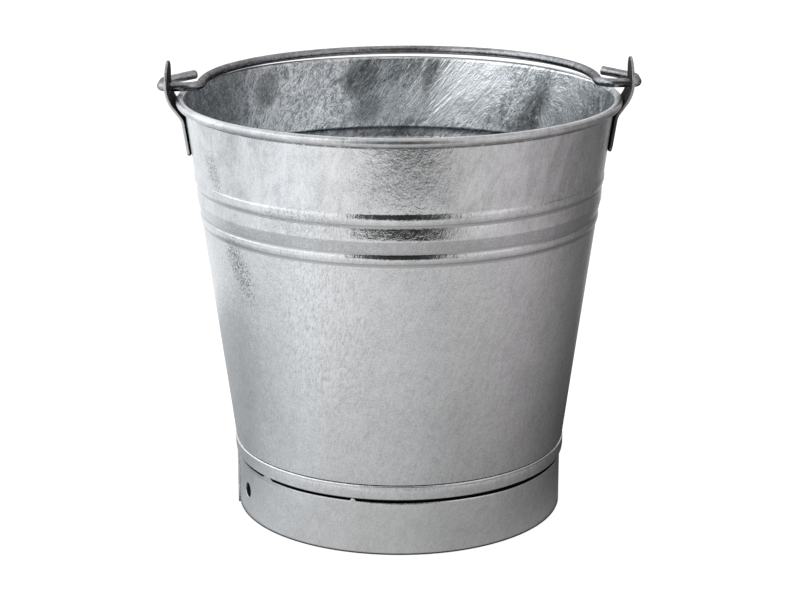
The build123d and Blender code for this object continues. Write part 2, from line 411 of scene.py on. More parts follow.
def build_pan():
    """Flat bottom with its edge folded down, out and up round the wall."""
    angle = ring_angles()
    skirt_r = SEAM_WALL_R - SHEET - LAYER_GAP
    inner_r = skirt_r - PAN_SHEET
    under_z = PAN_TOP_Z - PAN_SHEET
    ledge_z = SEAM_BOTTOM_Z + PAN_SHEET
    sink = [PAN_SINK * waves(angle, 0, PAN_WAVES) * (1 - (r / inner_r) ** 4) for r in PAN_RINGS]
    rings = [(0, under_z)]
    rings += [(float(r), under_z - s) for r, s in zip(PAN_RINGS, sink)]
    rings += [(inner_r, under_z), (inner_r, SEAM_BOTTOM_Z + SKIRT_EDGE)]
    rings.append((inner_r + SKIRT_EDGE, SEAM_BOTTOM_Z))
    fold = []
    for arc in FOLD_ARCS:
        fold += arc_through(*arc)[1 if fold else 0:]
    uneven = FOLD_UNEVEN * waves(angle, 0, FOLD_WAVES)
    rings += [(r - uneven * smooth_step(r, *FOLD_EASE), z) for r, z in fold]
    rings += [(FOLD_R, ledge_z), (skirt_r, ledge_z), (skirt_r, PAN_TOP_Z)]
    outer_count = len(rings) - 1        # the rest is the pan's upper face
    rings += [(float(r), PAN_TOP_Z - s) for r, s in zip(reversed(PAN_RINGS), reversed(sink))]
    rings.append((0, PAN_TOP_Z))
    kinds = [0] * outer_count + [1] * (len(rings) - outer_count)
    return lathe("pan", rings, closed=False, ring_materials=kinds)


def hoop_top(angle, lapped):
    """Height of the foot strip's upper edge, raised where zinc bridges the gap under the seam."""
    turn = radians(angle)
    top = FOOT_TOP_Z - EDGE_DROP - EDGE_TILT * cos(turn) + EDGE_RIPPLE * sin(9 * turn) * (1 - lapped)
    if angle < 360:
        for centre, half, height in BLOBS:
            top += height * smooth_step(half * 1.6 - abs(angle - centre), 0, half)
    return top


def hoop_section(angle):
    """Section of the foot strip at an angle in degrees, counted on from LAP_START to past a full turn."""
    end = 360 + LAP_START
    lapped = smooth_step(angle, end - JOGGLE, end)
    free = 1 - lapped
    turn = radians(angle)
    inner = FOOT_R - FOOT_SHEET
    rise = lapped * (FOOT_SHEET + LAYER_GAP)
    top = hoop_top(angle, lapped)
    neck_z = HOOP_NECK_Z + lapped * (top - HOOP_NECK_Z)
    neck_out = HOOP_NECK_R + lapped * (FOOT_R - 0.3 - HOOP_NECK_R)
    neck_in = HOOP_NECK_R - FOOT_SHEET + lapped * (FOOT_R - 0.7 - HOOP_NECK_R + FOOT_SHEET)
    points = [(inner, 0.35), (inner + 0.3, 0.0)]
    points += [(FOOT_R - inward, up) for inward, up in LOWER_ROUND]
    points += [(FOOT_R, z) for z in np.linspace(1.2, top - 1.4, 13)]
    points += [(FOOT_R - inward, top - down) for inward, down in UPPER_ROUND]
    points += [(neck_out + 0.35 * free, top), (neck_out, top + 0.3 * free)]
    points += [(neck_out, neck_z), (neck_in, neck_z), (neck_in, top - 1.2 * free - 0.1)]
    points += [(inner, top - 2.4)]
    points += [(inner, z) for z in np.linspace(top - 4, 1.2, 6)]
    wave = HOOP_WAVE * waves(turn, 0, HOOP_WAVES) * free
    eased = smooth_step(angle, LAP_START, LAP_START + HOOP_EASE)
    wave *= eased * (1 - smooth_step(angle, end - HOOP_EASE, end))
    return [((r + rise - wave) * cos(turn), (r + rise - wave) * sin(turn), z) for r, z in points]


def hole_cutter():
    """Plug in the shape of the hoop's hole, flared at the outside so that the hole's edge is rounded."""
    profile = [(-4.0, 0.0), (-0.4, 0.0), (-0.05, 0.45), (2.0, 2.4)]
    spin = Matrix.Rotation(radians(FOOT_HOLE_AZIMUTH), 4, "Z")
    circles = []
    for depth, flare in profile:
        radius = FOOT_HOLE_R + flare
        circle = []
        for i in range(FOOT_HOLE_SIDES):
            a = 2 * pi * i / FOOT_HOLE_SIDES
            point = Vector((FOOT_R + depth, radius * cos(a), FOOT_HOLE_Z + radius * sin(a)))
            circle.append(spin @ point)
        circles.append(circle)
    return loft("hole_cutter", circles)


def build_hoop():
    """Foot hoop: one strip bent into a ring, its outer end lapped over the start, with a hole."""
    end = 360 + LAP_END
    plain = np.linspace(LAP_START + 0.2, end - (LAP_END - LAP_START) - JOGGLE, 480)
    joggle = np.linspace(plain[-1], 360 + LAP_START, 12)[1:]
    flap = np.linspace(360 + LAP_START, end, 24)[1:]
    sections = [hoop_section(a) for a in list(plain) + list(joggle) + list(flap)]
    piece = loft("foot_strip", sections)
    cut(piece, hole_cutter())
    return piece


def ear_side(hole_z):
    """Outer face of an ear seen from the side, as (x, z) points from its lower edge to its tip."""
    bottom = hole_z - EAR_BOTTOM
    knee = hole_z - EAR_KNEE
    corners = [
        (wall_radius(bottom) + EAR_SHEET + TAB_GAP, 0, bottom),
        (wall_radius(knee) + EAR_SHEET + KNEE_GAP, 0, knee),
        (EAR_FACE_X - EAR_LEAN[0], 0, hole_z + EAR_UPRIGHT[0]),
        (EAR_FACE_X, 0, hole_z + EAR_UPRIGHT[1]),
        (EAR_FACE_X - EAR_LEAN[1], 0, hole_z + EAR_TIP),
    ]
    return [(p.x, p.z) for p in rounded_path(corners, EAR_BENDS)]


def ear_outline(angle):
    """Distance from the hole's centre to the ear's edge in that direction, 0 pointing along +Y."""
    y, z = cos(angle), sin(angle)
    crown = EAR_CROWN * z + sqrt(EAR_HALF_WIDTH**2 - (EAR_CROWN * y) ** 2)
    if crown * z >= EAR_CROWN:
        return crown
    if z >= 0:
        return EAR_HALF_WIDTH / abs(y)
    to_side = EAR_HALF_WIDTH / abs(y) if abs(y) > 1e-6 else 1e9
    to_bottom = EAR_BOTTOM / -z
    reach = min(to_side, to_bottom)
    corner_y, corner_z = EAR_HALF_WIDTH - EAR_CORNER_R, -EAR_BOTTOM + EAR_CORNER_R
    if reach * abs(y) > corner_y and reach * z < corner_z:
        along = abs(y) * corner_y + z * corner_z
        across = corner_y**2 + corner_z**2 - along**2
        reach = along + sqrt(max(EAR_CORNER_R**2 - across, 0))
    return reach


def ear_loop(reach, shares):
    """Section of the ear's plate from its hole to its outline, as (distance from the hole, depth)."""
    start = EAR_HOLE_R + EAR_EDGE
    span = reach - EAR_EDGE - EAR_HOLE_R - EAR_EDGE
    flat = [start + span * share for share in shares]
    near, upper, lower, far = EDGE_DEPTHS
    loop = [(EAR_HOLE_R, lower), (EAR_HOLE_R, upper), (EAR_HOLE_R + HOLE_BACK, near), (start, 0)]
    loop += [(r, 0) for r in flat]
    loop += [(reach - EDGE_BACK, near), (reach, upper), (reach, lower), (reach - EDGE_BACK, far)]
    loop += [(r, EAR_SHEET) for r in reversed(flat)]
    return loop + [(start, EAR_SHEET), (EAR_HOLE_R + HOLE_BACK, far)]


def build_ear(side):
    """Stamped ear with rounded edges round the plate and the hole."""
    hole_z = AXIS_Z + side * EAR_LIFT
    face = ear_side(hole_z)
    face_x, face_z = [p[0] for p in face], [p[1] for p in face]
    shares = np.linspace(0.12, 1, 12) ** 1.15
    reach_z = 0.8               # the face's slope is taken over this much above and below
    sections = []
    for i in range(EAR_SPOKES):
        angle = 2 * pi * i / EAR_SPOKES
        section = []
        for distance, depth in ear_loop(ear_outline(angle), shares):
            y, z = distance * cos(angle), hole_z + distance * sin(angle)
            z = min(max(z, face_z[0] + 0.05), face_z[-1])
            x = float(np.interp(z, face_z, face_x))
            above, below = np.interp(z + reach_z, face_z, face_x), np.interp(z - reach_z, face_z, face_x)
            slope = float(above - below) / (2 * reach_z)
            length = sqrt(1 + slope * slope)
            section.append((side * (x - depth / length), y, z + depth * slope / length))
        sections.append(section)
    return loft("ear_plate_left" if side < 0 else "ear_plate_right", sections, around=True)


def bail_path():
    """Middle line of the wire from the right free end round to the left one, at rest."""
    corners = [
        Vector(HOOK_END),
        Vector((HOOK_X, HOOK_REACH, HOOK_RISE)),
        Vector((HOOK_X, 0, 0)),
        Vector((BAIL_R, 0, 0)),
        Vector((BAIL_R, BAIL_ARC_Y, 0)),
    ]
    bends = [HOOK_OUTER_R, HOOK_INNER_R, SHOULDER_R]
    right = rounded_path(corners, bends, steps=14)
    flipped = [Vector((-p.x, p.y, p.z)) for p in reversed(right)]
    arc = []
    for i in range(1, BAIL_ARC_STEPS):
        a = pi * i / BAIL_ARC_STEPS
        arc.append(Vector((BAIL_R * cos(a), BAIL_ARC_Y + BAIL_R * sin(a), 0)))
    lean = Matrix.Rotation(-radians(BAIL_DROP), 4, "X")
    tilt = Matrix.Rotation(-AXIS_TILT, 4, "Y")
    place = Matrix.Translation((0, 0, AXIS_Z)) @ tilt @ lean
    return [place @ p for p in right + arc + flipped]


def dense(path, step):
    """The same line with no run longer than step."""
    points = [path[0]]
    for before, after in zip(path, path[1:]):
        length = (after - before).length
        if length < 1e-4:
            continue
        pieces = max(1, int(length / step))
        points += [before.lerp(after, (i + 1) / pieces) for i in range(pieces)]
    return points


def end_rings(point, inward, rounding):
    """Centres and radii of the rings that round off a cut end of the wire, from its tip inward."""
    rings = []
    for turn in (90, 75, 60, 45, 30, 15, 0):
        back = rounding * (1 - sin(radians(turn)))
        rings.append((point + inward * back, WIRE_R - rounding * (1 - cos(radians(turn)))))
    return rings


def wire_section(centre, radius, normal, side, travelled):
    """Ring of points round the wire, with the slight unevenness of its zinc."""
    section = []
    for k in range(TUBE_SIDES):
        a = 2 * pi * k / TUBE_SIDES
        r = radius - WIRE_UNEVEN * waves(a, travelled, WIRE_WAVES)
        section.append(centre + (normal * cos(a) + side * sin(a)) * r)
    return section


def build_bail():
    """Round wire with a slightly uneven zinc skin, its left end rounded and its right end cut flat."""
    path = dense(bail_path(), BAIL_STEP)
    count = len(path)
    margin = END_MARGIN * LEFT_END_ROUND
    travelled = 0.0
    normal = Vector((0, 0, 1))
    sections = []
    for i, point in enumerate(path):
        ahead = (path[min(i + 1, count - 1)] - path[max(i - 1, 0)]).normalized()
        normal = (normal - ahead * normal.dot(ahead)).normalized()
        side = ahead.cross(normal)
        if i:
            travelled += (point - path[i - 1]).length
        rings = []
        if i == 0:
            rings = end_rings(point, ahead, RIGHT_END_ROUND)
        elif i == count - 1:
            rings = list(reversed(end_rings(point, -ahead, LEFT_END_ROUND)))
        elif margin < travelled and (path[-1] - point).length > margin:
            rings = [(point, WIRE_R)]
        sections += [wire_section(centre, r, normal, side, travelled) for centre, r in rings]
    return loft("bail_wire", sections)


# ------------ shader helpers

class Graph:
    """Short calls for building a node tree."""

    def __init__(self, tree):
        self.tree = tree
        tree.nodes.clear()

    def feed(self, socket, value):
        """Links an output to the socket, or sets the socket to a plain value."""
        if isinstance(value, bpy.types.NodeSocket):
            self.tree.links.new(value, socket)
        else:
            socket.default_value = value

    def add(self, kind, inputs=(), **settings):
        """New node with its inputs fed and its settings made."""
        node = self.tree.nodes.new(kind)
        for key, value in settings.items():
            setattr(node, key, value)
        for key, value in dict(inputs).items():
            self.feed(node.inputs[key], value)
        return node

    def math(self, operation, *values):
        """One sum; the operations are Blender's own names for them."""
        node = self.add("ShaderNodeMath", operation=operation)
        for index, value in enumerate(values):
            self.feed(node.inputs[index], value)
        return node.outputs[0]

    def step(self, value, low, high, to_low=0.0, to_high=1.0):
        """Smooth step from to_low to to_high."""
        inputs = {"Value": value, "From Min": low, "From Max": high, "To Min": to_low, "To Max": to_high}
        return self.add("ShaderNodeMapRange", inputs, interpolation_type="SMOOTHSTEP").outputs[0]

    def noise(self, vector, scale, detail, roughness, distortion):
        """Noise between 0 and 1, mostly near 0.5."""
        inputs = {"Vector": vector, "Scale": scale, "Detail": detail, "Roughness": roughness}
        inputs["Distortion"] = distortion
        return self.add("ShaderNodeTexNoise", inputs).outputs[0]

    def drawn_out(self, vector, stretch, lean):
        """Coordinates that draw a noise out along a line, lean degrees from upright."""
        inputs = {"Vector": vector, "Scale": (1, 1, stretch), "Rotation": (0, radians(lean), 0)}
        return self.add("ShaderNodeMapping", inputs, vector_type="TEXTURE").outputs[0]

    def mix(self, share, first, second):
        """Mix of two colours."""
        node = self.add("ShaderNodeMix", data_type="RGBA")
        self.feed(node.inputs[0], share)
        self.feed(node.inputs[6], first)
        self.feed(node.inputs[7], second)
        return node.outputs[2]

    def scaled(self, colour, factor):
        """Colour times a factor."""
        node = self.add("ShaderNodeVectorMath", operation="SCALE")
        self.feed(node.inputs[0], colour)
        self.feed(node.inputs["Scale"], factor)
        return node.outputs[0]

    def ramp(self, value, stops):
        """Colour ramp; each stop is (position, brightness, (red, green, blue) tint)."""
        node = self.add("ShaderNodeValToRGB", {"Fac": value})
        band = node.color_ramp
        while len(band.elements) > 1:
            band.elements.remove(band.elements[-1])
        for index, (position, brightness, tint) in enumerate(stops):
            element = band.elements[0] if index == 0 else band.elements.new(position)
            element.position = position
            element.color = tuple(brightness * t for t in tint) + (1.0,)
        return node.outputs[0]

    def split(self, vector):
        """The three coordinates of a vector."""
        return self.add("ShaderNodeSeparateXYZ", {0: vector}).outputs


# ------------ materials

# Noises that every kind of zinc is made of, as (scale, detail, roughness, distortion)
NOISES = {
    "cloud": (24, 5, 0.62, 1.2),
    "smear": (95, 4, 0.65, 1.6),
    "flecks": (260, 3, 0.6, 0.6),
    "strokes": (900, 3, 0.6, 0.5),
    "fine": (1150, 2, 0.7, 0.0),
    "specks": (850, 2, 0.5, 0.0),
    "swell": (34, 2, 0.5, 0.4),
}
DRAWN_OUT = {"smear": 3.5, "strokes": 7}
MIDDLE_TONE = 0.60
FINE_HEIGHT = 0.45          # heights of the relief's parts, in units of BUMP_UNIT metres
STROKE_HEIGHT = 0.8
SWELL_HEIGHT = 3.0
BUMP_UNIT = 0.00022
CLOUD_ROUGHNESS = 0.22      # how much the roughness follows the clouds and the flecks
FLECK_ROUGHNESS = 0.18
SPECK_DENSITY = 0.20
SPECK_EDGE = (0.67, 0.74)
# Black used for the real specks and for the painted shade in creases, gaps and on the ears' backs
SOOT_AND_SHADE_BLACK = (0.012, 0.012, 0.013, 1.0)
SOOT_AND_SHADE_ROUGHNESS = 0.4        # how much rougher the zinc is where it is black

# Heights and radii between which marks fade in or out, in metres in the scene
PATCHY_RISE = (0.185, 0.238)
BEAD_HEIGHT = (0.2726, 0.2730)
BEAD_RADIUS = (0.1392, 0.1396)
# Painted shade: a black line under the rim bead
CREASE_SHADE_HEIGHT = (0.2714, 0.2737)
CREASE_SHADE_RADIUS = (0.1416, 0.1407)
# Painted shade: black on the underside of the seam's fold
UNDER_SEAM_SHADE_HEIGHT = (0.0382, 0.0379)
UNDER_SEAM_SHADE_RADIUS = (0.1108, 0.1105)
POLISHED_HEIGHT = (0.1975, 0.2298)
DARKER_DEPTH = (0.190, 0.140)
# Painted shade in the hollow behind the top rib, seen from inside
INNER_GROOVE_SHADE = (0.2230, 0.2285)
# Painted sheen on the inside of the middle rib
INNER_RIB_SHEEN = (0.2045, 0.2210)
# Painted shade in the gap under the seam
GAP_SHADE_HEIGHT = (0.0330, 0.0338)
GAP_SHADE_RADIUS = (0.1089, 0.1086)
# Painted shade on the hoop's inner face
HOOP_INSIDE_SHADE = (0.1085, 0.1082)
# Painted contact shade along the hoop's lower edge
HOOP_EDGE_SHADE = (0.0016, 0.0007)
# Painted highlight on the ears' edges
EAR_PAINTED_EDGES = (0.0149, 0.0160)
# Painted shade low on the right ear's edges, beside the wall
EAR_EDGE_SHADE_HEIGHT = (0.276, 0.262)
SIDE_STEP = 0.01            # half width of the step that tells the left side from the right

# Black specks as (middle, reach, sideways shift per rise, strength)
STAINS = [
    ((-0.1165, -0.070, 0.242), (0.007, 0.03, 0.022), -0.30, 0.40),
    ((-0.1010, -0.083, 0.182), (0.012, 0.03, 0.036), -0.36, 0.60),
    ((-0.0600, -0.120, 0.222), (0.050, 0.06, 0.014), 0.0, 0.22),
    ((0.0040, -0.137, 0.250), (0.060, 0.05, 0.022), 0.4, 0.16),
]
BRUSHED = ((-0.046, -0.115, 0.155), (0.036, 0.05, 0.070))

# Dark streaked patches on the inner wall, and painted bright patches of reflected light, given in the same
# way
INNER_DARK_PATCHES = [
    ((-0.0285, 0.136, 0.263), (0.016, 0.05, 0.017), 0.2, 0.85),
    ((-0.024, 0.137, 0.243), (0.014, 0.05, 0.016), 0.2, 0.55),
    ((0.022, 0.137, 0.267), (0.006, 0.05, 0.014), 0.35, 0.6),
    ((0.092, 0.104, 0.244), (0.011, 0.05, 0.040), 0.40, 0.75),
    ((-0.092, 0.103, 0.262), (0.010, 0.05, 0.018), 0.2, 0.55),
    ((-0.120, 0.070, 0.255), (0.020, 0.05, 0.045), 0.2, 0.35),
]
INNER_PAINTED_LIGHT = [
    ((0.052, 0.130, 0.258), (0.030, 0.05, 0.030), 0.4, 1.2),
    ((0.115, 0.080, 0.255), (0.018, 0.05, 0.040), 0.4, 1.2),
    ((0.005, 0.139, 0.250), (0.014, 0.05, 0.022), 0.3, 0.6),
]

# Painted shade lines in the grooves beside the ribs and on the middle rib's lower flank, as (low, high,
# strength)
RIB_SHADE_LINES = [
    (0.2212, 0.2226, 1.9),
    (0.2036, 0.2048, 1.0),
    (0.2050, 0.2122, 0.6),
    (0.1962, 0.1977, 1.9),
]
# Painted shadow line beside the lap's edge
LAP_SHADOW_LINE = ((-0.1079, -0.0160, 0.017), (0.003, 0.0009, 0.016))


def patch(graph, axes, centre, size, shear=0.0):
    """Soft mask that is 1 at a point of the surface and 0 outside an ellipsoid round it, in metres.

    Shear slides the patch sideways along X as it goes up.
    """
    rise = graph.math("SUBTRACT", axes[2], centre[2])
    leant = graph.math("MULTIPLY_ADD", rise, -shear, axes[0])
    total = None
    for axis, middle, reach in zip((leant, axes[1], axes[2]), centre, size):
        offset = graph.math("DIVIDE", graph.math("SUBTRACT", axis, middle), reach)
        square = graph.math("MULTIPLY", offset, offset)
        total = square if total is None else graph.math("ADD", total, square)
    return graph.step(total, 1.0, 0.0)


def band(graph, value, low, high, soft):
    """1 between low and high, falling to 0 over a soft width outside them."""
    return graph.math("MULTIPLY", graph.step(value, low - soft, low), graph.step(value, high + soft, high))


def radius_of(graph, axes):
    """Distance from the bucket's axis, in metres."""
    square = graph.math("MULTIPLY_ADD", axes[0], axes[0], graph.math("MULTIPLY", axes[1], axes[1]))
    return graph.math("SQRT", square)


def darkened(graph, tone, mask, amount):
    """The tone less an amount where the mask is 1; a negative amount brightens it."""
    return graph.math("MULTIPLY_ADD", mask, -amount, tone)


def speckled(graph, mask, noise):
    """The mask broken up into specks by a noise, denser towards its middle."""
    specks = graph.step(graph.math("MULTIPLY_ADD", mask, SPECK_DENSITY, noise), *SPECK_EDGE)
    return graph.math("MULTIPLY", specks, mask)


def zinc_noises(g, here, lean):
    """The noises of NOISES, with those in DRAWN_OUT stretched along the strokes."""
    noises = {}
    for name, settings in NOISES.items():
        stretch = DRAWN_OUT.get(name)
        vector = g.drawn_out(here, stretch, lean) if stretch else here
        noises[name] = g.noise(vector, *settings)
    return noises


def zinc_tone(g, noises, layers, patchy):
    """Lightness of the zinc before its marks, round MIDDLE_TONE."""
    tone = MIDDLE_TONE
    for layer in ("cloud", "smear"):
        swing = g.math("MULTIPLY", g.math("SUBTRACT", noises[layer], 0.5), patchy)
        tone = g.math("MULTIPLY_ADD", swing, layers[layer], tone)
    for layer in ("flecks", "strokes", "fine"):
        tone = g.math("MULTIPLY_ADD", g.math("SUBTRACT", noises[layer], 0.5), layers[layer], tone)
    return tone


def zinc_relief(g, noises, layers, patchy, bump):
    """Fine unevenness of the surface: pits, grain, scratches, ridges of the smears and a slow swell."""
    pits = g.math("MULTIPLY", noises["flecks"], layers["pits"])
    height = g.math("MULTIPLY_ADD", noises["fine"], FINE_HEIGHT, pits)
    height = g.math("MULTIPLY_ADD", noises["strokes"], STROKE_HEIGHT, height)
    smears = g.math("MULTIPLY", noises["smear"], patchy)
    height = g.math("MULTIPLY_ADD", smears, layers["ridges"], height)
    height = g.math("MULTIPLY_ADD", noises["swell"], SWELL_HEIGHT, height)
    relief = g.add("ShaderNodeBump", {"Height": height, "Strength": 0.6, "Distance": BUMP_UNIT * bump})
    return relief.outputs[0]


def zinc(name, light, dark, roughness, bump, lean, layers, marks=None, edge_tint=1.0):
    """Hot-dip zinc: fine grain, cloudy patches, wiped smears, faint scratches and dull spots.

    Layers gives the contrast of the clouds, smears, flecks, strokes and grain, how deep the flecks are
    pitted and the smears ridged, and as "rise" how much of the clouds and smears there is low on the
    wall and high on it. Lean is the slope of the strokes in degrees from upright. Marks adds what
    belongs to one piece, painted shade and painted highlights among it, and a low edge tint darkens
    what is seen at a grazing angle.
    """
    material = bpy.data.materials.new(name)
    material.use_nodes = True
    g = Graph(material.node_tree)
    here = g.add("ShaderNodeTexCoord").outputs["Object"]
    axes = g.split(here)
    noises = zinc_noises(g, here, lean)
    patchy = g.step(axes[2], *PATCHY_RISE, *layers["rise"])
    tone = zinc_tone(g, noises, layers, patchy)
    dull, soot_and_shade = 0.0, 0.0
    if marks:
        tone, dull, soot_and_shade = marks(g, axes, noises, tone)
    colour = g.mix(g.step(tone, 0.0, 1.0), dark + (1.0,), light + (1.0,))
    # Black mixed in where there are real specks and where shade is painted
    colour = g.mix(soot_and_shade, colour, SOOT_AND_SHADE_BLACK)
    rough = g.math("MULTIPLY_ADD", g.math("SUBTRACT", noises["cloud"], 0.5), CLOUD_ROUGHNESS, roughness)
    rough = g.math("MULTIPLY_ADD", g.math("SUBTRACT", noises["flecks"], 0.5), FLECK_ROUGHNESS, rough)
    shader = g.add("ShaderNodeBsdfPrincipled", {
        "Base Color": colour,
        "Metallic": 1.0,
        "Roughness": g.math("ADD", rough, dull),
        "Normal": zinc_relief(g, noises, layers, patchy, bump),
    })
    shader.inputs["Specular Tint"].default_value = (edge_tint, edge_tint, edge_tint, 1.0)
    out = g.add("ShaderNodeOutputMaterial")
    g.feed(out.inputs["Surface"], shader.outputs[0])
    return material


def outside_marks(g, axes, noises, tone):
    """Specks and brush marks on the outer wall; painted shade lines beside the ribs, a painted black shade
    line under the rim bead and painted shade on the underside of the seam.
    """
    height = axes[2]
    radius = radius_of(g, axes)
    soot_and_shade = 0.0
    for centre, size, shear, amount in STAINS:
        specks = speckled(g, patch(g, axes, centre, size, shear), noises["specks"])
        soot_and_shade = g.math("MAXIMUM", soot_and_shade, g.math("MULTIPLY", specks, amount))
    brushed = g.math("MULTIPLY", patch(g, axes, *BRUSHED), g.math("SUBTRACT", noises["strokes"], 0.46))
    tone = g.math("MULTIPLY_ADD", brushed, 1.3, tone)
    # Painted shade: dark lines in the grooves beside the ribs and on the middle rib's lower flank
    for low, high, amount in RIB_SHADE_LINES:
        line = band(g, height, low, high, 0.0006)
        tone = darkened(g, tone, g.math("MULTIPLY", line, noises["flecks"]), amount)
    rim = g.math("MULTIPLY", g.step(height, *BEAD_HEIGHT), g.step(radius, *BEAD_RADIUS))
    tone = darkened(g, tone, rim, 0.2)
    # Painted shade: a black line where the bead meets the wall, broken up by the flecks
    crease_shade = g.math("MULTIPLY", band(g, height, *CREASE_SHADE_HEIGHT, 0.0005), g.step(radius, *CREASE_SHADE_RADIUS))
    crease_shade = g.math("MULTIPLY", crease_shade, g.step(noises["flecks"], 0.25, 0.55, 0.3, 0.7))
    # Painted shade: black on the underside of the seam's fold
    under = g.math("MULTIPLY", g.step(height, *UNDER_SEAM_SHADE_HEIGHT), g.step(radius, *UNDER_SEAM_SHADE_RADIUS))
    soot_and_shade = g.math("MAXIMUM", soot_and_shade, g.math("MAXIMUM", crease_shade, under))
    dull = g.math("MULTIPLY", soot_and_shade, SOOT_AND_SHADE_ROUGHNESS)
    dull = g.math("MULTIPLY_ADD", rim, 0.16, dull)
    dull = g.math("MULTIPLY_ADD", band(g, height, *POLISHED_HEIGHT, 0.0008), -0.06, dull)
    return tone, dull, soot_and_shade


def inside_marks(g, axes, noises, tone):
    """Dark streaked patches and painted bright diagonal patches of reflected light on the inner wall, darker
    low down, a painted sheen on the middle rib and a painted black shade line behind the top rib.
    """
    height = axes[2]
    streaks = g.step(noises["smear"], 0.36, 0.60, 0.35, 1.0)
    soot_and_shade = 0.0
    for centre, size, shear, amount in INNER_DARK_PATCHES:
        mask = g.math("MULTIPLY", patch(g, axes, centre, size, shear), streaks)
        soot_and_shade = g.math("MAXIMUM", soot_and_shade, g.math("MULTIPLY", mask, amount))
    # Painted light: brighter patches standing in for reflections of the bright studio
    for centre, size, shear, amount in INNER_PAINTED_LIGHT:
        tone = darkened(g, tone, patch(g, axes, centre, size, shear), -amount)
    tone = darkened(g, tone, g.step(height, *DARKER_DEPTH), 0.5)
    # Painted sheen: the inside of the middle rib painted brighter
    tone = darkened(g, tone, band(g, height, *INNER_RIB_SHEEN, 0.0008), -0.7)
    # Painted shade: black in the hollow behind the top rib
    groove_shade = g.math("MULTIPLY", band(g, height, *INNER_GROOVE_SHADE, 0.0010), 0.55)
    return tone, 0.0, g.math("MAXIMUM", soot_and_shade, groove_shade)


def hoop_marks(g, axes, noises, tone):
    """Painted black shade in the gap under the seam, a painted shadow line beside the lap, painted contact
    shade along the lower edge and painted shade on the hoop's inner face.
    """
    height = axes[2]
    radius = radius_of(g, axes)
    # Painted shade: black in the gap between the seam and the hoop
    gap = g.math("MULTIPLY", g.step(radius, *GAP_SHADE_RADIUS), g.step(height, *GAP_SHADE_HEIGHT))
    # Painted shade: the hoop's inner face darker, under the bucket
    tone = darkened(g, tone, g.step(radius, *HOOP_INSIDE_SHADE), 0.5)
    # Painted shadow: a dark line beside the lap's edge
    soot_and_shade = g.math("MAXIMUM", gap, g.math("MULTIPLY", patch(g, axes, *LAP_SHADOW_LINE), 0.8))
    # Painted contact shade: black along the hoop's lower edge
    soot_and_shade = g.math("MAXIMUM", soot_and_shade, g.math("MULTIPLY", g.step(height, *HOOP_EDGE_SHADE), 0.85))
    return tone, g.math("MULTIPLY", soot_and_shade, SOOT_AND_SHADE_ROUGHNESS), soot_and_shade


def ear_marks(g, axes, noises, tone):
    """Edges of the ears painted brighter as a painted highlight, most on the left one, painted shade low on
    the right one's edges, and painted black shade on their backs.
    """
    edge = g.step(g.math("ABSOLUTE", axes[1]), *EAR_PAINTED_EDGES)
    right = g.step(axes[0], -SIDE_STEP, SIDE_STEP)
    left = g.step(axes[0], SIDE_STEP, -SIDE_STEP)
    low = g.step(axes[2], *EAR_EDGE_SHADE_HEIGHT)
    # Painted shade: the right ear's edges darker low down, beside the wall
    low_edge_shade = g.math("MULTIPLY", edge, g.math("MULTIPLY", low, right))
    normal = g.split(g.add("ShaderNodeTexCoord").outputs["Normal"])
    outward = g.math("MULTIPLY", normal[0], g.math("SIGN", axes[0]))
    # Painted shade: the ears' inner faces, turned to the wall, made black
    back = g.step(outward, -0.2, -0.6)
    soot_and_shade = g.math("MULTIPLY", g.math("MAXIMUM", back, low_edge_shade), 0.8)
    # Painted highlight: the ears' edges brighter, more on the left ear
    tone = g.math("MULTIPLY", g.step(g.math("ADD", tone, edge), 0.0, 1.0), 0.55)
    tone = g.math("MULTIPLY_ADD", g.math("MULTIPLY", edge, left), 0.45, tone)
    return tone, g.math("MULTIPLY", g.math("MAXIMUM", back, edge), 0.36), soot_and_shade


def outside_zinc():
    """Bright, lightly brushed zinc of the outer wall, the rim and the seam."""
    layers = {"cloud": 1.3, "smear": 0.9, "flecks": 0.45, "strokes": 0.5, "fine": 1.2,
              "pits": 1.7, "ridges": 1.2, "rise": (0.3, 1.0)}
    return zinc("zinc_outside", light=(0.86, 0.87, 0.88), dark=(0.50, 0.50, 0.51), roughness=0.16,
                bump=0.75, lean=18, layers=layers, marks=outside_marks)


def inside_zinc():
    """Zinc of the inner wall, crinkled like foil."""
    layers = {"cloud": 1.1, "smear": 2.4, "flecks": 0.7, "strokes": 2.2, "fine": 1.4,
              "pits": 0.5, "ridges": 2.2, "rise": (1.0, 1.0)}
    return zinc("zinc_inside", light=(0.90, 0.93, 0.95), dark=(0.32, 0.34, 0.35), roughness=0.17,
                bump=2.4, lean=38, layers=layers, marks=inside_marks)


def hoop_zinc():
    """Even, slightly dull zinc of the foot hoop."""
    layers = {"cloud": 0.4, "smear": 0.3, "flecks": 0.4, "strokes": 0.4, "fine": 1.0,
              "pits": 1.7, "ridges": 1.2, "rise": (1.0, 1.0)}
    return zinc("zinc_hoop", light=(0.84, 0.85, 0.86), dark=(0.52, 0.52, 0.52), roughness=0.22,
                bump=0.8, lean=24, layers=layers, marks=hoop_marks)


WORN = {"cloud": 1.0, "smear": 0.8, "flecks": 1.0, "strokes": 0.9, "fine": 1.2,
        "pits": 1.7, "ridges": 1.8, "rise": (1.0, 1.0)}


def ear_zinc():
    """Dark, worn zinc of the ears."""
    return zinc("zinc_ears", light=(0.86, 0.86, 0.86), dark=(0.24, 0.24, 0.24), roughness=0.24,
                bump=1.0, lean=10, layers=WORN, marks=ear_marks, edge_tint=0.25)


def wire_zinc():
    """Dark, worn zinc of the bail and the rim wire."""
    return zinc("zinc_wire", light=(0.50, 0.50, 0.51), dark=(0.18, 0.18, 0.19), roughness=0.22,
                bump=1.2, lean=80, layers=WORN, edge_tint=0.35)


# ------------ studio

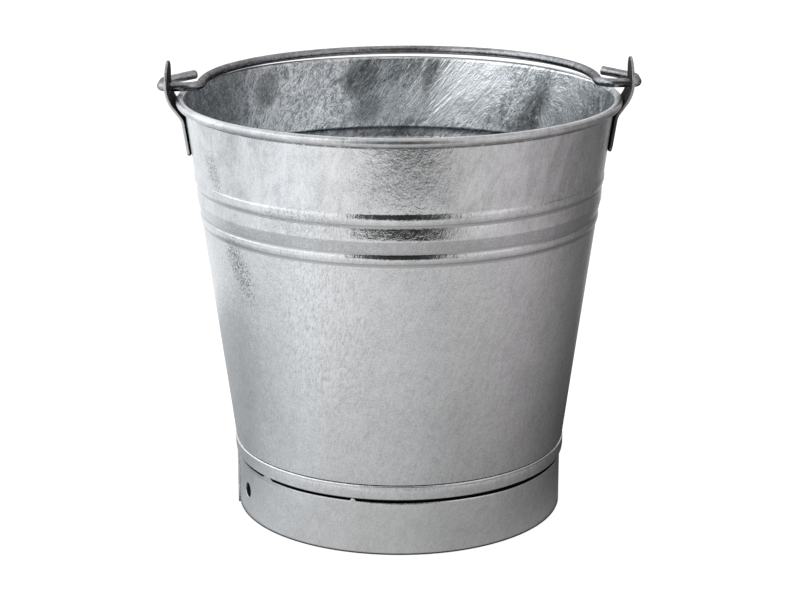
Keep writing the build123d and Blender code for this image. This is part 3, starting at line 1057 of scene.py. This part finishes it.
COOL = (0.955, 0.985, 1.01)
PLAIN = (1.0, 1.0, 1.0)
WARM = (1.0, 0.965, 0.975)
COOL_UP_TO = -40            # degrees round from -Y towards +X
PLAIN_UP_TO = 30


def turn_of(graph, x, y):
    """0 to 1 round the bucket: 0.5 faces -Y, 0.25 faces -X, 0.75 faces +X."""
    angle = graph.math("ARCTAN2", x, graph.math("MULTIPLY", y, -1.0))
    return graph.math("MULTIPLY_ADD", angle, 1 / (2 * pi), 0.5)


def stops(pairs):
    """Ramp stops from (degrees round from -Y towards +X, brightness), cool on the left, warm on the right."""
    made = []
    for degrees_round, brightness in pairs:
        tint = COOL if degrees_round < COOL_UP_TO else PLAIN if degrees_round < PLAIN_UP_TO else WARM
        made.append((degrees_round / 360 + 0.5, brightness, tint))
    return made


# Brightness of the studio round the bucket: on the table near it, at the horizon, and high up
TABLE = [(-180, 0.62), (-135, 0.56), (-100, 0.52), (-80, 0.70), (-50, 0.88), (-30, 0.76),
         (0, 0.66), (20, 0.54), (55, 0.48), (75, 0.37), (92, 0.26), (115, 0.15), (140, 0.11), (180, 0.6)]
HORIZON = [(-180, 1.05), (-150, 1.15), (-120, 1.6), (-95, 1.45), (-70, 1.25), (-50, 1.25), (-29, 1.1),
           (-23, 0.08), (0, 0.03), (20, 0.05), (38, 0.85), (62, 0.80), (76, 0.46), (96, 0.20),
           (125, 0.14), (150, 0.55), (180, 1.05)]
HIGH = [(-180, 1.2), (-90, 1.7), (-40, 1.6), (-29, 1.2), (-23, 0.08), (22, 0.08), (38, 0.95),
        (60, 0.85), (100, 0.48), (150, 0.6), (180, 1.2)]
OVERHEAD = 0.66
NEAR_LEFT = 0.80            # brightness of the table close to the bucket, against further out
NEAR_RIGHT = 0.42
FAR_TABLE = 1.20
FAR_LEFT = 1.75
FRONT_TURN = 0.517          # where the dark room comes nearest, on the same scale as turn_of
FRONT_SPREAD = 36.0         # how fast the lit table reaches further out beside it
BEHIND = (0.86, 1.0)        # stretch behind the bucket where the right side's shades turn back to the left's
RIGHT_TURN = (0.46, 0.78)   # stretch over which the near table darkens towards the right
LEFT_TURN = (0.14, 0.36)    # stretch over which the far table brightens towards the left
FOOT_SHADOW = 0.15          # brightness left right at the foot
FOOT_SHADOW_REACH = 0.003   # metres from the foot
NEAR_TABLE = (0.05, 0.26)   # metres from the foot over which the near table brightens
FAR_START = (0.28, 0.42)    # over which the far table begins
ROOM_START = (0.44, 0.60)   # and over which the room takes its place
LOW_SKY = (14, 30)          # degrees above the horizon over which HORIZON gives way to HIGH
HIGH_SKY = (46, 60)         # and HIGH to OVERHEAD
FLOOR_GREY = (0.34, 0.34, 0.34, 1.0)
FLOOR_GLOW = 0.86
FLOOR_HALF = 9000.0
FLOOR_Z = -0.05

CAMERA_PLACE = (0.0005, -1.392, 0.5416)
CAMERA_TILT = 73.84         # degrees up from looking straight down
CAMERA_LENS = 97.425
WHITE = (1.0, 1.0, 1.0, 1.0)


def build_world():
    """Plain white behind everything; what the metal mirrors is a soft studio, darker in front and right."""
    world = bpy.data.worlds.new("studio")
    bpy.context.scene.world = world
    world.use_nodes = True
    g = Graph(world.node_tree)
    x, y, z = g.split(g.add("ShaderNodeTexCoord").outputs["Generated"])
    turn = turn_of(g, x, y)
    low = g.ramp(turn, stops(HORIZON))
    high = g.ramp(turn, stops(HIGH))
    above = (OVERHEAD, OVERHEAD, OVERHEAD, 1.0)
    studio = g.mix(g.step(z, *[sin(radians(a)) for a in LOW_SKY]), low, high)
    studio = g.mix(g.step(z, *[sin(radians(a)) for a in HIGH_SKY]), studio, above)
    seen = g.add("ShaderNodeLightPath").outputs["Is Camera Ray"]
    colour = g.mix(seen, studio, WHITE)
    background = g.add("ShaderNodeBackground", {"Color": colour, "Strength": 1.0})
    out = g.add("ShaderNodeOutputWorld")
    g.feed(out.inputs["Surface"], background.outputs[0])


def table_light(g, turn, away):
    """How bright the mirrored table is: darker by the foot and on the right, brighter further out."""
    shade = g.step(turn, *RIGHT_TURN, NEAR_LEFT, NEAR_RIGHT)
    shade = g.math("ADD", shade, g.step(turn, *BEHIND, 0.0, NEAR_LEFT - NEAR_RIGHT))
    start, end = NEAR_TABLE
    near = g.add("ShaderNodeMapRange", {"Value": away, "From Min": start, "From Max": end, "To Min": shade})
    shadow = g.step(away, 0.0, FOOT_SHADOW_REACH, FOOT_SHADOW, 1.0)
    near = g.math("MULTIPLY", shadow, near.outputs[0])
    further = g.step(turn, *LEFT_TURN, FAR_LEFT, FAR_TABLE)
    further = g.math("ADD", further, g.step(turn, *BEHIND, 0.0, FAR_LEFT - FAR_TABLE))
    return g.math("MULTIPLY", near, g.step(away, *FAR_START, 1.0, further))


def floor_material():
    """Pale floor. In the metal it shows as a lit table that fades into the dark room in front."""
    material = bpy.data.materials.new("pale_floor")
    material.use_nodes = True
    g = Graph(material.node_tree)
    x, y, z = g.split(g.add("ShaderNodeNewGeometry").outputs["Position"])
    turn = turn_of(g, x, y)
    away = g.math("SUBTRACT", radius_of(g, (x, y)), FOOT_R * MM)
    table = g.scaled(g.ramp(turn, stops(TABLE)), table_light(g, turn, away))
    room = g.ramp(turn, stops(HORIZON))
    aside = g.math("SUBTRACT", turn, FRONT_TURN)
    beside = g.math("MULTIPLY", g.math("MULTIPLY", aside, aside), -FRONT_SPREAD)
    pattern = g.mix(g.step(g.math("ADD", away, beside), *ROOM_START), table, room)
    mirrored = g.add("ShaderNodeEmission", {"Color": pattern})
    # The glow stops inside the foot hoop: a painted shadow on the floor under the bucket
    strength = g.math("MULTIPLY", g.step(away, -0.002, 0.0), FLOOR_GLOW)
    glow = g.add("ShaderNodeEmission", {"Color": WHITE, "Strength": strength})
    matt = g.add("ShaderNodeBsdfDiffuse", {"Color": FLOOR_GREY})
    both = g.add("ShaderNodeAddShader")
    g.feed(both.inputs[0], glow.outputs[0])
    g.feed(both.inputs[1], matt.outputs[0])
    seen = g.add("ShaderNodeLightPath").outputs["Is Camera Ray"]
    mixed = g.add("ShaderNodeMixShader")
    g.feed(mixed.inputs[0], seen)
    g.feed(mixed.inputs[1], mirrored.outputs[0])
    g.feed(mixed.inputs[2], both.outputs[0])
    out = g.add("ShaderNodeOutputMaterial")
    g.feed(out.inputs["Surface"], mixed.outputs[0])
    return material


def build_floor():
    """Wide plain floor just under the foot hoop."""
    corners = [(x * FLOOR_HALF, y * FLOOR_HALF, FLOOR_Z) for x, y in ((-1, -1), (1, -1), (1, 1), (-1, 1))]
    floor = make_mesh("floor", corners, [(0, 1, 2, 3)])
    floor.data.materials.append(floor_material())


def build_camera():
    """Slightly above the bucket, looking down on it from the front."""
    data = bpy.data.cameras.new("camera")
    data.sensor_width = 36.0
    data.lens = CAMERA_LENS
    data.clip_end = 50.0
    camera = bpy.data.objects.new("camera", data)
    camera.location = CAMERA_PLACE
    camera.rotation_euler = (radians(CAMERA_TILT), 0, 0)
    bpy.context.scene.collection.objects.link(camera)
    bpy.context.scene.camera = camera


# ------------ scene

def main():
    """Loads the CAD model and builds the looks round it."""
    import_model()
    build_world()
    build_floor()
    build_camera()
    view = bpy.context.scene.view_settings
    view.view_transform = "Standard"
    view.look = "None"

    outside, inside = outside_zinc(), inside_zinc()
    ears, wire = ear_zinc(), wire_zinc()
    finish_piece(build_wall(), [outside, inside], "zinc_wall", "bucket", "body_shell")
    finish_piece(build_pan(), [outside, inside], "zinc_wall", "bucket", "bottom_pan")
    finish_piece(build_hoop(), [hoop_zinc()], "zinc_wall", "bucket", "foot_hoop")
    finish_piece(build_ear(-1), [ears], "zinc_ear", "bucket", "ear_left")
    finish_piece(build_ear(1), [ears], "zinc_ear", "bucket", "ear_right")
    finish_piece(build_bail(), [wire], "zinc_wire", "bail", "bail")
    rim = bpy.data.objects["rim_wire"]
    rim.data.materials.clear()
    rim.data.materials.append(wire)


main()
